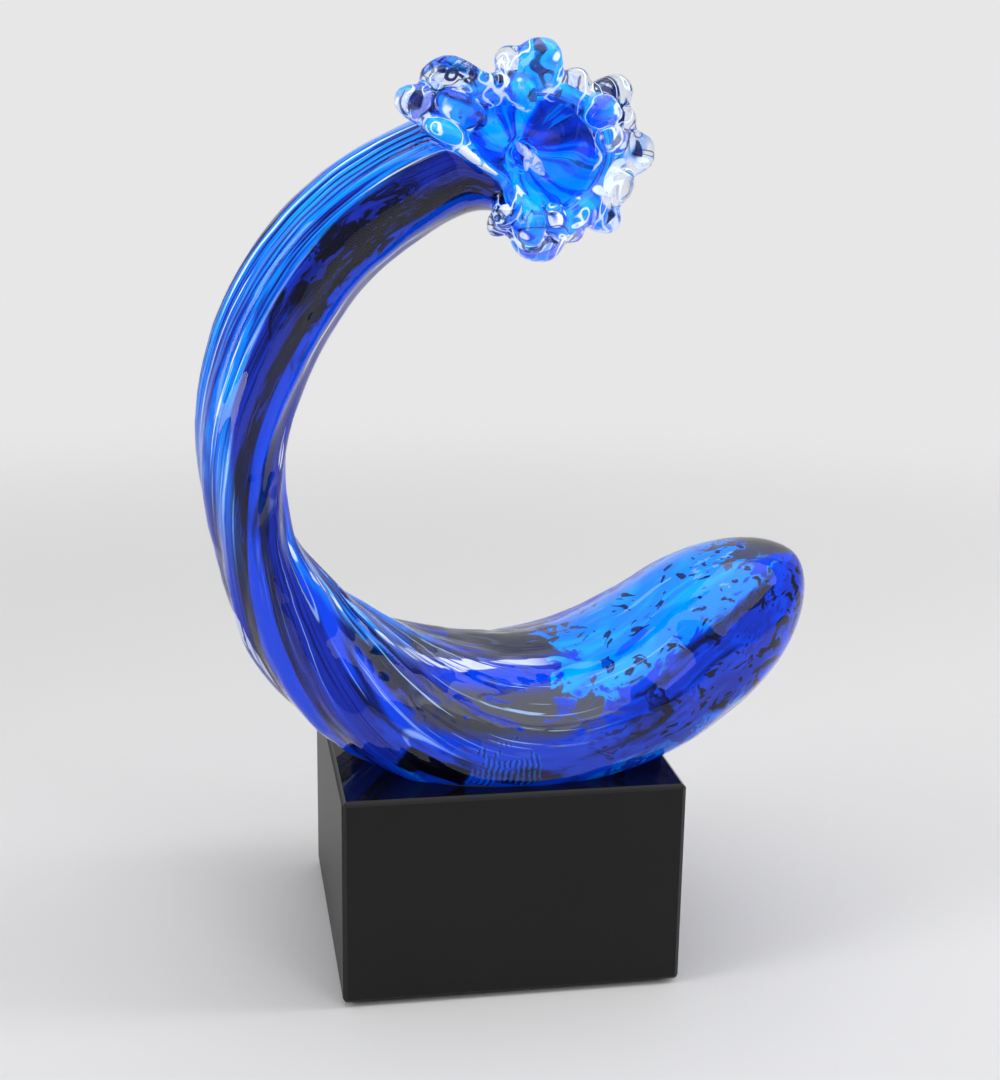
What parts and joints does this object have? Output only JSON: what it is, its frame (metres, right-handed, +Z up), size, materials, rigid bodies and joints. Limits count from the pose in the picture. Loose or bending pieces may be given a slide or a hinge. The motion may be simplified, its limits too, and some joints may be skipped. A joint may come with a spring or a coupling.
{
  "type": "glass wave sculpture",
  "caption": "Curling wave of solid coloured glass with a frothy scooped crest, glued by its ground foot to a square polished block.",
  "frame": {"origin": "centre of the felt's underside, on the surface that the block stands on", "axes": "+X to the right with the wave's fat round end, +Y away from the viewer, +Z up"},
  "size_m": [0.1452, 0.081, 0.2166],
  "materials": {
    "black_crystal": "polished",
    "felt": "felted",
    "adhesive": "clear cured",
    "cobalt_glass": "glossy, streaked",
    "clear_casing": "fire polished",
    "scoop_glass": "fire polished",
    "foam_glass": "fire polished",
    "fold_glass": "fire polished"
  },
  "bodies": {
    "root": {"base_block": "black_crystal", "base_felt": "felt", "foot_adhesive": "adhesive", "wave_core": "cobalt_glass", "wave_casing": "clear_casing", "crest_cup": "scoop_glass", "foam_left": "foam_glass", "crest_fold": "fold_glass", "foam_right": "foam_glass", "foam_lower": "foam_glass", "foam_bottom": "foam_glass", "funnel_knot": "foam_glass"}
  },
  "joints": []
}
